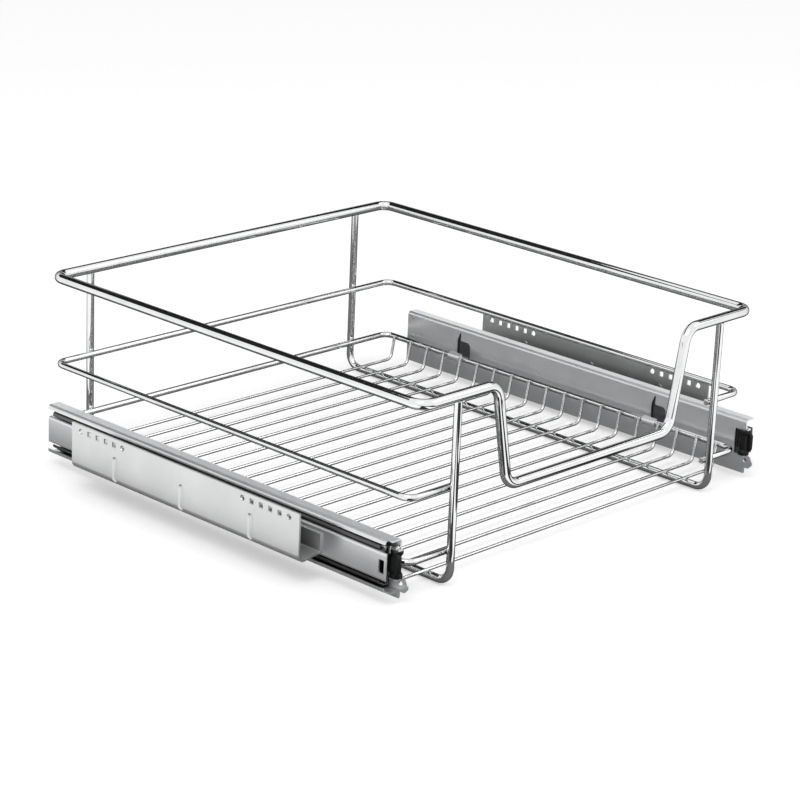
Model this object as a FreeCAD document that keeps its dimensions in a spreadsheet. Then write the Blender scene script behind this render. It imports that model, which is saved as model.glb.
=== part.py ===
import FreeCAD, Part
import math
import os
import Sketcher
from types import SimpleNamespace

# Pull-out wire basket on a pair of three-section ball-bearing slides, in millimetres.
# The origin is the middle of the whole part's footprint, +Z is up, and the basket pulls out along -Y.
# Every right-hand piece has a left-hand twin, mirrored in the plane X = 0.

DRIVING_SIZES = (
    ("overall_width", 464, "over both mounting plates"),
    ("rim_depth", 400, "between the rim's front and back wires, centre to centre"),
    ("rim_inset", 3, "rim's side wires inside the rings' side runs, centre to centre"),
    ("rim_height", 143.5, "rim wire's centre above the base"),
    ("rim_wire", 8, "wire diameter of the rim"),
    ("rim_corner", 10, "bend radius at the rim's four corners"),
    ("dip_top", 218, "width of the front dip at the rim"),
    ("dip_bottom", 184, "width of the front dip at its lower rail"),
    ("dip_drop", 80, "how far the dip's lower rail lies under the rim"),
    ("dip_bend", 11, "bend radius of the dip"),
    ("frame_wire", 6, "wire diameter of the two U-frames"),
    ("frame_inset", 36.3, "a U-frame inside the rim's side wire, centre to centre"),
    ("frame_bend", 11, "bend radius at the foot of a U-frame"),
    ("ring_wire", 5, "wire diameter of the middle and lower rings"),
    ("ring_inboard", 9.1, "a ring's side run inside the back of the basket member"),
    ("ring_bend", 9, "bend radius of the rings"),
    ("middle_ring_height", 74.2, "middle ring's centre above the base"),
    ("lower_ring_height", 25.8, "lower ring's centre above the base"),
    ("ring_end_pass", 3, "how far a ring's end runs past the upright wire it is welded to"),
    ("floor_wire", 2.5, "wire diameter of the floor wires"),
    ("floor_pitch", 20, "from one floor wire to the next"),
    ("floor_count", 19, "number of floor wires"),
    ("floor_turn_inset", 8, "a floor wire's bend inside the rings' side runs"),
    ("floor_bend", 3, "length of the short slanted run at each bend of a floor wire"),
    ("floor_end_rise", 2.5, "how far a floor wire's end stands above the lower ring's centre"),
    ("weld_gap", 0.05, "room left between wires that are welded where they cross"),
    ("slide_height", 45, "height of the slide"),
    ("slide_depth", 12.7, "depth of the basket member"),
    ("slide_length", 375, "length of the basket member"),
    ("slide_centre", 26.5, "height of the slide's middle above the base"),
    ("slide_setback", 2, "basket member's front end behind the rim's front wire"),
    ("slide_travel", 370, "how far the basket pulls out"),
    ("slide_wall", 1.2, "sheet of the basket and cabinet members"),
    ("middle_wall", 1.1, "sheet of the intermediate member"),
    ("member_proud", 0.5, "cabinet member's face beyond the basket member's lips"),
    ("corner_bend", 1.2, "inner bend radius at the basket member's web"),
    ("outer_ball", 4.5, "ball diameter between basket and intermediate member"),
    ("inner_ball", 3.9, "ball diameter between intermediate and cabinet member"),
    ("ball_play", 0.1, "room between a ball and the race it runs in"),
    ("ball_count", 5, "balls in one row of a cage"),
    ("ball_pitch", 32, "from one ball to the next"),
    ("cage_wall", 0.5, "sheet of the ball cages"),
    ("cage_play", 0.25, "room on each side of a cage's sheet"),
    ("cage_end_room", 19, "cage shorter than the overlap that full travel leaves"),
    ("lip_overlap", 0.5, "how far a race's lip reaches past the ball's centre"),
    ("middle_lip", 12, "intermediate member's lip, outside, from the basket member's back"),
    ("web_play", 1, "room between the backs of the basket and intermediate members"),
    ("shoulder_drop", 1.7, "intermediate member's shoulder under the basket member's flange"),
    ("intermediate_setback", 10, "intermediate member's front behind the basket member's front"),
    ("intermediate_length", 360, "length of the intermediate member"),
    ("cabinet_length", 373.5, "length of the cabinet member"),
    ("closing_gap", 0.3, "cabinet member's front end behind the bumper when closed"),
    ("front_slot_height", 10, "slot near the cabinet member's front end"),
    ("front_slot_width", 6, "width of that slot"),
    ("front_slot_setback", 4.9, "middle of that slot behind the member's front end"),
    ("ear_reach", 8, "lower front ear beyond the basket member's front end"),
    ("ear_height", 8, "height of that ear"),
    ("ear_hole", 4, "diameter of the hole behind the ear"),
    ("ear_hole_setback", 1.8, "ear hole behind the basket member's front end"),
    ("ear_hole_drop", 14.4, "ear hole under the slide's middle"),
    ("hook_width", 13, "width of a hook tongue"),
    ("hook_wall_gap", 1.2, "room in the window on each side of a tongue"),
    ("hook_window_height", 14.2, "height of a hook window"),
    ("horn_width", 2.6, "width of the slit that rises from a window's rear side"),
    ("horn_height", 6.5, "height of that slit"),
    ("front_hook", 89, "front hook behind the basket member's front end"),
    ("rear_hook", 307, "rear hook behind the basket member's front end"),
    ("hook_play", 0.1, "room between a tongue and the ring it grips"),
    ("bracket_gap", 22.7, "outer face of the mounting plate from the cabinet member's face"),
    ("bracket_length", 251, "length of the mounting bracket"),
    ("bracket_setback", 66, "bracket's front end behind the basket member's front end"),
    ("bracket_wall", 1.5, "sheet of the mounting bracket"),
    ("bracket_top", 55.6, "top edge of the mounting plate above the base"),
    ("bracket_foot", 17.5, "underside of the bracket above the base"),
    ("bracket_rise", 3, "rise of the bracket's floor towards the slide"),
    ("bracket_bend", 5.5, "outer bend radius under the mounting plate"),
    ("upright_bend", 2.5, "outer bend radius under the upright on the slide"),
    ("upright_top", 35.5, "top edge of that upright above the base"),
    ("screw_hole", 4.6, "diameter of the round holes at the ends of each group"),
    ("screw_hole_spacing", 48.5, "between the two round holes of a group"),
    ("screw_hole_drop", 5, "row of holes under the plate's top edge"),
    ("screw_group_spacing", 181.2, "between the middles of the two groups of holes"),
    ("square_hole", 4.2, "side of the square holes between the round ones"),
    ("square_hole_count", 4, "square holes in each group"),
    ("square_hole_pitch", 9.7, "from one square hole to the next"),
    ("rib_count", 3, "stiffening ribs pressed into the mounting plate"),
    ("rib_pitch", 75, "from one rib to the next"),
    ("rib_width", 6, "width of a rib"),
    ("rib_height", 21, "height of a rib"),
    ("rib_corner", 1.8, "slanted corners of a rib's ends"),
    ("rib_foot", 20.5, "lower end of the ribs above the base"),
    ("rib_depth", 0.7, "how far a rib is pressed in"),
    ("rivet_shank", 4, "diameter of the rivets that hold bracket and cabinet member"),
    ("rivet_head", 7, "diameter of their heads"),
    ("rivet_head_thick", 1, "thickness of their heads"),
    ("rivet_count", 2, "rivets in each bracket"),
    ("rivet_pitch", 180, "from one rivet to the next"),
    ("rivet_height", 28.5, "rivets above the base"),
    ("bumper_reach", 6, "bumper beyond the basket member's front end"),
    ("bumper_height", 25.5, "height of the bumper"),
    ("bumper_raise", 1.2, "bumper's middle above the slide's middle"),
    ("bumper_waist", 1.6, "how far the bumper is drawn in between its end flanges"),
    ("bumper_flange", 3.4, "thickness of the bumper's end flanges"),
    ("bumper_nose", 9, "bumper's nose inside the slide"),
    ("bumper_nose_height", 15, "height of that nose"),
    ("bumper_play", 0.4, "room between the bumper and what slides past it"),
)

WIRE_SIDES = 12
THIN_WIRE_SIDES = 8
FLOOR_WIRE_SIDES = 6
RIVET_SIDES = 8
BALL_SIDES = 6
SIDES = (("left", -1), ("right", 1))

document = FreeCAD.newDocument("PullOutBasket")
sheet = document.addObject("Spreadsheet::Sheet", "Sizes")
for row, (alias, amount, meaning) in enumerate(DRIVING_SIZES, start=1):
    sheet.set(f"A{row}", meaning)
    sheet.set(f"B{row}", str(amount))
    sheet.setAlias(f"B{row}", alias)
document.recompute()


class Size:
    """A length with its present value and the sheet formula that keeps it up to date."""

    def __init__(self, formula, value):
        self.formula = formula
        self.value = value

    def __add__(self, other):
        return Size(f"({self.formula} + {formula_of(other)})", self.value + value_of(other))

    def __sub__(self, other):
        return Size(f"({self.formula} - {formula_of(other)})", self.value - value_of(other))

    def __mul__(self, other):
        return Size(f"({self.formula} * {formula_of(other)})", self.value * value_of(other))

    def __truediv__(self, other):
        return Size(f"({self.formula} / {formula_of(other)})", self.value / value_of(other))

    def __neg__(self):
        return self * -1

    __radd__ = __add__
    __rmul__ = __mul__


def value_of(amount):
    return amount.value if isinstance(amount, Size) else amount


def formula_of(amount):
    return amount.formula if isinstance(amount, Size) else f"({amount})"


s = SimpleNamespace()
for alias, _, _ in DRIVING_SIZES:
    setattr(s, alias, Size(f"Sizes.{alias}", float(sheet.get(alias))))

# Places that several pieces share.
rim_front = (s.ear_reach - s.slide_setback - s.rim_depth - s.rim_wire / 2) / 2
rim_back = rim_front + s.rim_depth
ring_inset = s.frame_wire / 2 + s.ring_wire / 2 + s.weld_gap
frame_foot = s.frame_wire / 2
floor_height = s.frame_wire + s.weld_gap + s.floor_wire / 2
slide_front = rim_front + s.slide_setback

# Slide section: depths run from the back of the basket member towards the cabinet side, and heights
# run up from the slide's middle. The lower half mirrors the upper one.
stack_depth = s.slide_depth + s.member_proud
slide_back = s.overall_width / 2 - s.bracket_gap - stack_depth
outer_ball_depth = s.slide_depth - s.slide_wall - s.ball_play - s.outer_ball / 2
outer_ball_height = s.slide_height / 2 - s.slide_wall - s.ball_play - s.outer_ball / 2
middle_back = s.slide_wall + s.web_play
middle_step = outer_ball_depth - s.outer_ball / 2 - s.ball_play
middle_shoulder = s.slide_height / 2 - s.slide_wall - s.shoulder_drop
middle_flange = outer_ball_height - s.outer_ball / 2 - s.ball_play
inner_ball_depth = s.middle_lip - s.middle_wall - s.ball_play - s.inner_ball / 2
inner_ball_height = middle_flange - s.middle_wall - s.ball_play - s.inner_ball / 2
cabinet_step = inner_ball_depth - s.inner_ball / 2 - s.ball_play
cabinet_flange = inner_ball_height - s.inner_ball / 2 - s.ball_play
cabinet_lip = middle_flange - s.middle_wall - s.cage_wall - s.cage_play * 2

# How far the basket's wires stand from the middle, from the slides inwards.
ring_side = slide_back - s.ring_inboard
rim_side = ring_side - s.rim_inset
frame_side = rim_side - s.frame_inset

intermediate_front = slide_front + s.intermediate_setback
cabinet_front = slide_front + s.closing_gap
cage_middle = slide_front + s.slide_length / 2
bracket_front = slide_front + s.bracket_setback
bracket_middle = bracket_front + s.bracket_length / 2
first_rivet = bracket_middle - s.rivet_pitch * (s.rivet_count - 1) / 2


def at_slide(side, depth):
    """X of a depth in one side's slide section."""
    return (slide_back + depth) * side


def bind(thing, path, amount):
    """Give a property its sheet formula, if it has one."""
    if isinstance(amount, Size):
        thing.setExpression(path, amount.formula)


def make_body(name):
    body = document.addObject("PartDesign::Body", name)
    body.Label = name
    body.Placement = FreeCAD.Placement()
    return body


def add_sketch(body, name, role, offset):
    """A sketch parallel to one of the body's origin planes, at an offset along that plane's normal."""
    sketch = body.newObject("Sketcher::SketchObject", name)
    plane = next(item for item in body.Origin.OriginFeatures if item.Role == role)
    sketch.AttachmentSupport = [(plane, "")]
    sketch.MapMode = "FlatFace"
    sketch.AttachmentOffset = FreeCAD.Placement(FreeCAD.Vector(0, 0, value_of(offset)), FreeCAD.Rotation())
    bind(sketch, ".AttachmentOffset.Base.z", offset)
    return sketch


def constrain(sketch, kind, *arguments):
    """Add a constraint, bound to the sheet if its amount is a size."""
    *where, amount = arguments
    if isinstance(amount, Size):
        number = sketch.addConstraint(Sketcher.Constraint(kind, *where, amount.value))
        sketch.setExpression(f"Constraints[{number}]", amount.formula)
    else:
        sketch.addConstraint(Sketcher.Constraint(kind, *where, float(amount)))


def place(sketch, geometry, point, across, up):
    """Dimension a sketch point from the origin."""
    constrain(sketch, "DistanceX", -1, 1, geometry, point, across)
    constrain(sketch, "DistanceY", -1, 1, geometry, point, up)


def rounded(before, here, after, radius):
    """Tangent points and arc of a rounded corner, and whether it turns left."""
    into = (here - before).normalize()
    out = (after - here).normalize()
    turn = math.atan2(into.x * out.y - into.y * out.x, into.dot(out))
    run = radius * math.tan(abs(turn) / 2)
    start = here - into * run
    end = here + out * run
    left = turn > 0
    normal = FreeCAD.Vector(-into.y, into.x, 0) if left else FreeCAD.Vector(into.y, -into.x, 0)
    centre = start + normal * radius
    first, last = (start, end) if left else (end, start)
    angles = [math.atan2(point.y - centre.y, point.x - centre.x) for point in (first, last)]
    if angles[1] < angles[0]:
        angles[1] += 2 * math.pi
    circle = Part.Circle(centre, FreeCAD.Vector(0, 0, 1), radius)
    return start, end, Part.ArcOfCircle(circle, *angles), left


def draw(sketch, corners, closed=True):
    """Straight runs through corners (across, up[, bend radius]), rounded where a radius is given."""
    points = [FreeCAD.Vector(value_of(corner[0]), value_of(corner[1]), 0) for corner in corners]
    count = len(points)
    starts, ends, arcs = list(points), list(points), {}
    for index, corner in enumerate(corners):
        if len(corner) == 3:
            before, after = points[index - 1], points[(index + 1) % count]
            radius = value_of(corner[2])
            starts[index], ends[index], *arcs[index] = rounded(before, points[index], after, radius)
    runs = count if closed else count - 1
    lines = []
    for index in range(runs):
        segment = Part.LineSegment(ends[index], starts[(index + 1) % count])
        lines.append(sketch.addGeometry(segment))
    for index, corner in enumerate(corners):
        entering = lines[index - 1] if closed or index > 0 else None
        leaving = lines[index] if index < runs else None
        if index in arcs:
            arc, left = arcs[index]
            bend = sketch.addGeometry(arc)
            sketch.addConstraint(Sketcher.Constraint("Tangent", entering, 2, bend, 1 if left else 2))
            sketch.addConstraint(Sketcher.Constraint("Tangent", leaving, 1, bend, 2 if left else 1))
            constrain(sketch, "Radius", bend, corner[2])
            mark = sketch.addGeometry(Part.Point(points[index]), True)
            sketch.addConstraint(Sketcher.Constraint("PointOnObject", mark, 1, entering))
            sketch.addConstraint(Sketcher.Constraint("PointOnObject", mark, 1, leaving))
            place(sketch, mark, 1, corner[0], corner[1])
            continue
        if entering is not None and leaving is not None:
            sketch.addConstraint(Sketcher.Constraint("Coincident", entering, 2, leaving, 1))
        if leaving is not None:
            place(sketch, leaving, 1, corner[0], corner[1])
        else:
            place(sketch, entering, 2, corner[0], corner[1])


def draw_circle(sketch, across, up, diameter):
    centre = FreeCAD.Vector(value_of(across), value_of(up), 0)
    circle = sketch.addGeometry(Part.Circle(centre, FreeCAD.Vector(0, 0, 1), value_of(diameter) / 2))
    place(sketch, circle, 3, across, up)
    constrain(sketch, "Diameter", circle, diameter)


def draw_section(sketch, across, up, diameter, sides):
    """A wire's round section, as a many-sided figure with corners at its four extremes."""
    corners = []
    for index in range(sides):
        angle = 2 * math.pi * index / sides
        radius = diameter / 2
        corners.append((across + radius * math.cos(angle), up + radius * math.sin(angle)))
    draw(sketch, corners)


def draw_rectangle(sketch, low, high):
    draw(sketch, [(low[0], low[1]), (high[0], low[1]), (high[0], high[1]), (low[0], high[1])])


def draw_slot(sketch, across, up, width, height):
    """An upright slot with round ends, around its middle."""
    radius = width / 2
    low, high = up - height / 2 + radius, up + height / 2 - radius
    left, right = across - radius, across + radius
    upright = FreeCAD.Vector(0, 0, 1)
    lines, bends = [], []
    for x, y_from, y_to in ((right, low, high), (left, high, low)):
        start = FreeCAD.Vector(value_of(x), value_of(y_from), 0)
        end = FreeCAD.Vector(value_of(x), value_of(y_to), 0)
        lines.append(sketch.addGeometry(Part.LineSegment(start, end)))
    for y, begin in ((high, 0), (low, math.pi)):
        centre = FreeCAD.Vector(value_of(across), value_of(y), 0)
        circle = Part.Circle(centre, upright, value_of(radius))
        bends.append(sketch.addGeometry(Part.ArcOfCircle(circle, begin, begin + math.pi)))
    for index in range(2):
        sketch.addConstraint(Sketcher.Constraint("Tangent", lines[index], 2, bends[index], 1))
        sketch.addConstraint(Sketcher.Constraint("Tangent", bends[index], 2, lines[1 - index], 1))
    place(sketch, bends[0], 3, across, high)
    constrain(sketch, "Radius", bends[0], radius)
    constrain(sketch, "DistanceX", -1, 1, bends[1], 3, across)
    constrain(sketch, "DistanceY", -1, 1, bends[1], 3, low)


def pad_along_y(body, name, start, length, corners):
    """Pad a section drawn in X and Z from Y = start towards the back."""
    sketch = add_sketch(body, name + "_section", "XZ_Plane", -start)
    draw(sketch, corners)
    pad = body.newObject("PartDesign::Pad", name)
    pad.Profile = sketch
    pad.Reversed = True
    pad.Length = value_of(length)
    bind(pad, "Length", length)
    return pad


def add_across(body, kind, name, middle, thickness, drawing):
    """Pad or pocket a shape drawn in Y and Z, centred on X = middle."""
    sketch = add_sketch(body, name + "_outline", "YZ_Plane", middle)
    drawing(sketch)
    feature = body.newObject(kind, name)
    feature.Profile = sketch
    feature.SideType = "Symmetric"
    feature.Length = value_of(thickness)
    bind(feature, "Length", thickness)
    return feature


def repeat_along_y(body, name, feature, pitch, count):
    """Repeat a feature towards the back."""
    pattern = body.newObject("PartDesign::LinearPattern", name)
    pattern.Originals = [feature]
    axis = next(item for item in body.Origin.OriginFeatures if item.Role == "Y_Axis")
    pattern.Direction = (axis, [""])
    span = pitch * (count - 1)
    pattern.Length = value_of(span)
    bind(pattern, "Length", span)
    pattern.Occurrences = round(value_of(count))
    bind(pattern, "Occurrences", count)
    body.Tip = pattern
    return pattern


def bend_wire(body, name, path_plane, path_offset, path, section_plane, section_offset, centre, wire, sides,
              transition="Transformed"):
    """Sweep a wire's section along a bent path."""
    spine = add_sketch(body, name + "_path", path_plane, path_offset)
    draw(spine, path, closed=False)
    profile = add_sketch(body, name + "_section", section_plane, section_offset)
    draw_section(profile, centre[0], centre[1], wire, sides)
    pipe = body.newObject("PartDesign::AdditivePipe", name)
    pipe.Profile = profile
    pipe.Spine = (spine, [""])
    pipe.Transition = transition
    return pipe


def make_rim():
    """The rim: a level loop, and the front rail that dips in the middle."""
    body = make_body("top_rim")
    dip_edge = s.dip_top / 2
    level_start = dip_edge + s.dip_bend * 2
    loop = [
        (level_start, rim_front),
        (rim_side, rim_front, s.rim_corner),
        (rim_side, rim_back, s.rim_corner),
        (-rim_side, rim_back, s.rim_corner),
        (-rim_side, rim_front, s.rim_corner),
        (-level_start, rim_front),
    ]
    bend_wire(body, "rim_loop", "XY_Plane", s.rim_height, loop, "YZ_Plane", level_start,
              (rim_front, s.rim_height), s.rim_wire, WIRE_SIDES)
    rail_height = s.rim_height - s.dip_drop
    dip = [
        (level_start, s.rim_height),
        (dip_edge, s.rim_height, s.dip_bend),
        (s.dip_bottom / 2, rail_height, s.dip_bend),
        (-s.dip_bottom / 2, rail_height, s.dip_bend),
        (-dip_edge, s.rim_height, s.dip_bend),
        (-level_start, s.rim_height),
    ]
    bend_wire(body, "front_dip", "XZ_Plane", -rim_front, dip, "YZ_Plane", level_start,
              (rim_front, s.rim_height), s.rim_wire, WIRE_SIDES)
    return body


def make_ring(name, height):
    """A ring inside the U-frames, open at the front, where its ends are welded to the uprights."""
    body = make_body(name)
    front, back = rim_front + ring_inset, rim_back - ring_inset
    end = frame_side - s.ring_end_pass
    path = [
        (end, front),
        (ring_side, front, s.ring_bend),
        (ring_side, back, s.ring_bend),
        (-ring_side, back, s.ring_bend),
        (-ring_side, front, s.ring_bend),
        (-end, front),
    ]
    bend_wire(body, name + "_wire", "XY_Plane", height, path, "YZ_Plane", end, (front, height),
              s.ring_wire, THIN_WIRE_SIDES)
    return body


def make_u_frame(name, side):
    """A U-frame from the rim's front wire, down, under the floor and up to the rim's back wire."""
    body = make_body(name)
    across = frame_side * side
    top = s.rim_height - s.rim_wire / 2 - s.weld_gap
    path = [
        (rim_front, top),
        (rim_front, frame_foot, s.frame_bend),
        (rim_back, frame_foot, s.frame_bend),
        (rim_back, top),
    ]
    bend_wire(body, name + "_wire", "YZ_Plane", across, path, "XY_Plane", top, (across, rim_front),
              s.frame_wire, THIN_WIRE_SIDES)
    return body


def make_floor_wires():
    """The floor wires, each laid across both U-frames and turned up at its ends beside the lower ring."""
    body = make_body("floor_wires")
    body.AllowCompound = True
    first = (rim_front + rim_back) / 2 - s.floor_pitch * (s.floor_count - 1) / 2
    turn = ring_side - s.floor_turn_inset
    top = s.lower_ring_height + s.floor_end_rise
    lean = ring_side - s.ring_wire / 2 - s.floor_wire / 2 - s.weld_gap * 4
    halves = []
    for label, side in SIDES:
        path = [
            (0, floor_height),
            ((turn - s.floor_bend) * side, floor_height),
            (turn * side, floor_height + s.floor_bend),
            (lean * side, top),
        ]
        half = bend_wire(body, label + "_half", "XZ_Plane", -first, path, "YZ_Plane", 0,
                         (first, floor_height), s.floor_wire, FLOOR_WIRE_SIDES, "Right corner")
        halves.append(half)
    pattern = repeat_along_y(body, "row", halves[0], s.floor_pitch, s.floor_count)
    pattern.Originals = halves
    return body


def mirrored_section(upper):
    """A closed section from its upper half, read from the outside of the web to its inside."""
    lower = [(corner[0], -corner[1], *corner[2:]) for corner in reversed(upper)]
    return upper + lower


def slide_section(side, upper):
    """Turn corners given in depth and height into X and Z on one side."""
    corners = []
    for depth, height, *bend in mirrored_section(upper):
        corners.append((at_slide(side, depth), s.slide_centre + height, *bend))
    return corners


def ring_tongue(side):
    """Section of a hook tongue: out of the web, under the lower ring and round it."""
    grip = s.ring_wire / 2 + s.hook_play
    outer_bend = grip + s.slide_wall
    web = slide_back + s.slide_wall
    low, high = s.lower_ring_height - grip, s.lower_ring_height + grip
    return [
        (web * side, low),
        ((ring_side - grip) * side, low, grip * 0.98),
        ((ring_side - grip) * side, high, grip * 0.98),
        (ring_side * side, high),
        (ring_side * side, high + s.slide_wall),
        ((ring_side - outer_bend) * side, high + s.slide_wall, outer_bend * 0.98),
        ((ring_side - outer_bend) * side, low - s.slide_wall, outer_bend * 0.98),
        (web * side, low - s.slide_wall),
    ]


def make_basket_member(name, side):
    """The member that carries the basket: a channel whose flanges are rolled into ball races."""
    body = make_body(name)
    top = s.slide_height / 2
    race = s.outer_ball / 2 + s.ball_play / 2
    lip = outer_ball_height - s.lip_overlap
    inside = s.slide_depth - s.slide_wall
    upper = [
        (0, top, s.corner_bend + s.slide_wall),
        (s.slide_depth, top, race + s.slide_wall),
        (s.slide_depth, lip),
        (inside, lip),
        (inside, top - s.slide_wall, race),
        (s.slide_wall, top - s.slide_wall, s.corner_bend),
    ]
    pad_along_y(body, "channel", slide_front, s.slide_length, slide_section(side, upper))
    web_middle = at_slide(side, s.slide_wall / 2)
    foot = s.slide_centre - top + s.corner_bend + s.slide_wall
    tip = slide_front - s.ear_reach

    def ear(sketch):
        draw(sketch, [
            (slide_front, foot),
            (tip, foot, s.ear_hole / 2),
            (tip, foot + s.ear_height / 2, s.ear_hole / 2),
            (slide_front, foot + s.ear_height),
        ])

    add_across(body, "PartDesign::Pad", "ear", web_middle, s.slide_wall, ear)

    def ear_hole(sketch):
        draw_circle(sketch, slide_front + s.ear_hole_setback, s.slide_centre - s.ear_hole_drop, s.ear_hole)

    add_across(body, "PartDesign::Pocket", "ear_hole", web_middle, s.slide_wall * 2, ear_hole)
    window_foot = s.lower_ring_height - s.ring_wire / 2 - s.hook_play
    window_top = window_foot + s.hook_window_height
    for label, place_of_hook in (("front_hook", s.front_hook), ("rear_hook", s.rear_hook)):
        middle = slide_front + place_of_hook
        half = s.hook_width / 2 + s.hook_wall_gap

        def window(sketch, middle=middle, half=half):
            draw(sketch, [
                (middle - half, window_foot),
                (middle + half, window_foot),
                (middle + half, window_top + s.horn_height),
                (middle + half - s.horn_width, window_top + s.horn_height),
                (middle + half - s.horn_width, window_top),
                (middle - half, window_top),
            ])

        add_across(body, "PartDesign::Pocket", label + "_window", web_middle, s.slide_wall * 2, window)
        pad_along_y(body, label, middle - s.hook_width / 2, s.hook_width, ring_tongue(side))
    return body


def make_intermediate_member(name, side):
    """The middle member: its flanges step down behind the outer balls and curl round the inner ones."""
    body = make_body(name)
    wall = s.middle_wall
    race = s.inner_ball / 2 + s.ball_play / 2
    step_bend = s.outer_ball / 3
    lip = inner_ball_height - s.lip_overlap
    upper = [
        (middle_back, middle_shoulder),
        (middle_step, middle_shoulder),
        (middle_step, middle_flange, step_bend),
        (s.middle_lip, middle_flange, race + wall),
        (s.middle_lip, lip),
        (s.middle_lip - wall, lip),
        (s.middle_lip - wall, middle_flange - wall, race),
        (middle_step - wall, middle_flange - wall, step_bend + wall),
        (middle_step - wall, middle_shoulder - wall),
        (middle_back + wall, middle_shoulder - wall),
    ]
    pad_along_y(body, "channel", intermediate_front, s.intermediate_length, slide_section(side, upper))
    return body


def make_cabinet_member(name, side):
    """The member that stays in the cabinet: its flat web closes the slide and its flanges point inwards."""
    body = make_body(name)
    wall = s.slide_wall
    race = s.inner_ball / 2 + s.ball_play / 2
    upper = [
        (stack_depth, cabinet_flange, s.corner_bend + wall / 2),
        (cabinet_step, cabinet_flange, race),
        (cabinet_step, cabinet_lip),
        (cabinet_step - wall, cabinet_lip),
        (cabinet_step - wall, cabinet_flange - wall, race + wall),
        (stack_depth - wall, cabinet_flange - wall),
    ]
    pad_along_y(body, "channel", cabinet_front, s.cabinet_length, slide_section(side, upper))
    web_middle = at_slide(side, stack_depth - wall / 2)

    def front_slot(sketch):
        draw_slot(sketch, cabinet_front + s.front_slot_setback, s.slide_centre, s.front_slot_width,
                  s.front_slot_height)

    add_across(body, "PartDesign::Pocket", "front_slot", web_middle, wall * 2, front_slot)

    def rivet_hole(sketch):
        draw_section(sketch, first_rivet, s.rivet_height, s.rivet_shank, RIVET_SIDES)

    hole = add_across(body, "PartDesign::Pocket", "rivet_hole", web_middle, wall * 2, rivet_hole)
    repeat_along_y(body, "rivet_holes", hole, s.rivet_pitch, s.rivet_count)
    return body


def make_cage(name, side, back, height, tip, ball_depth, ball):
    """A ball cage: a thin channel along the slide, with an open pocket for each ball."""
    body = make_body(name)
    wall = s.cage_wall
    pocket = ball + s.ball_play * 2
    span = s.ball_pitch * (s.ball_count - 1)
    length = s.intermediate_length - s.slide_travel / 2 - s.cage_end_room
    upper = [
        (back, height),
        (tip, height),
        (tip, height - wall),
        (back + wall, height - wall),
    ]
    pad_along_y(body, "strip", cage_middle - length / 2, length, slide_section(side, upper))
    first = cage_middle - span / 2
    sketch = add_sketch(body, "pocket_outline", "XY_Plane", s.slide_centre)
    inner, outer = at_slide(side, ball_depth - pocket / 2), at_slide(side, tip + wall)
    draw_rectangle(sketch, (inner, first - pocket / 2), (outer, first + pocket / 2))
    cut = body.newObject("PartDesign::Pocket", "pocket")
    cut.Profile = sketch
    cut.SideType = "Symmetric"
    cut.Length = value_of(s.slide_height)
    bind(cut, "Length", s.slide_height)
    repeat_along_y(body, "pockets", cut, s.ball_pitch, s.ball_count)
    return body


def ball_shape(radius):
    """A ball with flat facets: two caps and three belts."""
    rings = []
    for tilt in (60, 20, -20, -60):
        ring = []
        for index in range(BALL_SIDES):
            turn = 2 * math.pi * (index + 0.5) / BALL_SIDES
            reach = radius * math.cos(math.radians(tilt))
            up = radius * math.sin(math.radians(tilt))
            ring.append(FreeCAD.Vector(reach * math.cos(turn), reach * math.sin(turn), up))
        rings.append(ring)
    faces = []
    for ring in (rings[0], rings[-1]):
        faces.append(Part.Face(Part.makePolygon(ring + ring[:1])))
    for upper, lower in zip(rings, rings[1:]):
        for index in range(BALL_SIDES):
            after = (index + 1) % BALL_SIDES
            loop = [upper[index], upper[after], lower[after], lower[index]]
            faces.append(Part.Face(Part.makePolygon(loop + loop[:1])))
    solid = Part.Solid(Part.Shell(faces))
    if solid.Volume < 0:
        solid.reverse()
    return solid


def make_balls(name, side, depth, height, diameter):
    """Two rows of loose balls, one above and one below the slide's middle."""
    ball = ball_shape(diameter.value / 2)
    count = round(s.ball_count.value)
    first = cage_middle.value - s.ball_pitch.value * (count - 1) / 2
    balls = []
    for level in (-height.value, height.value):
        for index in range(count):
            copy = ball.copy()
            centre = (at_slide(side, depth).value, first + index * s.ball_pitch.value,
                      s.slide_centre.value + level)
            copy.translate(FreeCAD.Vector(*centre))
            balls.append(copy)
    feature = document.addObject("Part::Feature", name)
    feature.Label = name
    feature.Shape = Part.makeCompound(balls)
    feature.Placement = FreeCAD.Placement()
    return feature


def make_bumper(name, side):
    """The plastic bumper: a waisted block on the basket member's front end, with a nose in the slide."""
    body = make_body(name)
    middle = s.slide_centre + s.bumper_raise
    half = s.bumper_height / 2
    tip = slide_front - s.bumper_reach
    waist = tip + s.bumper_waist
    depth = stack_depth - s.bumper_play * 2

    def block(sketch):
        draw(sketch, [
            (slide_front, middle - half),
            (tip, middle - half, s.bumper_waist),
            (tip, middle - half + s.bumper_flange),
            (waist, middle - half + s.bumper_flange + s.bumper_waist),
            (waist, middle + half - s.bumper_flange - s.bumper_waist),
            (tip, middle + half - s.bumper_flange),
            (tip, middle + half, s.bumper_waist),
            (slide_front, middle + half),
        ])

    add_across(body, "PartDesign::Pad", "block", at_slide(side, depth / 2), depth, block)
    nose_half = s.bumper_nose_height / 2
    inner, outer = at_slide(side, s.slide_wall), at_slide(side, depth - s.slide_wall)
    nose = [
        (inner, s.slide_centre - nose_half),
        (outer, s.slide_centre - nose_half),
        (outer, s.slide_centre + nose_half),
        (inner, s.slide_centre + nose_half),
    ]
    pad_along_y(body, "nose", slide_front, s.bumper_nose, nose)
    return body


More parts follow.
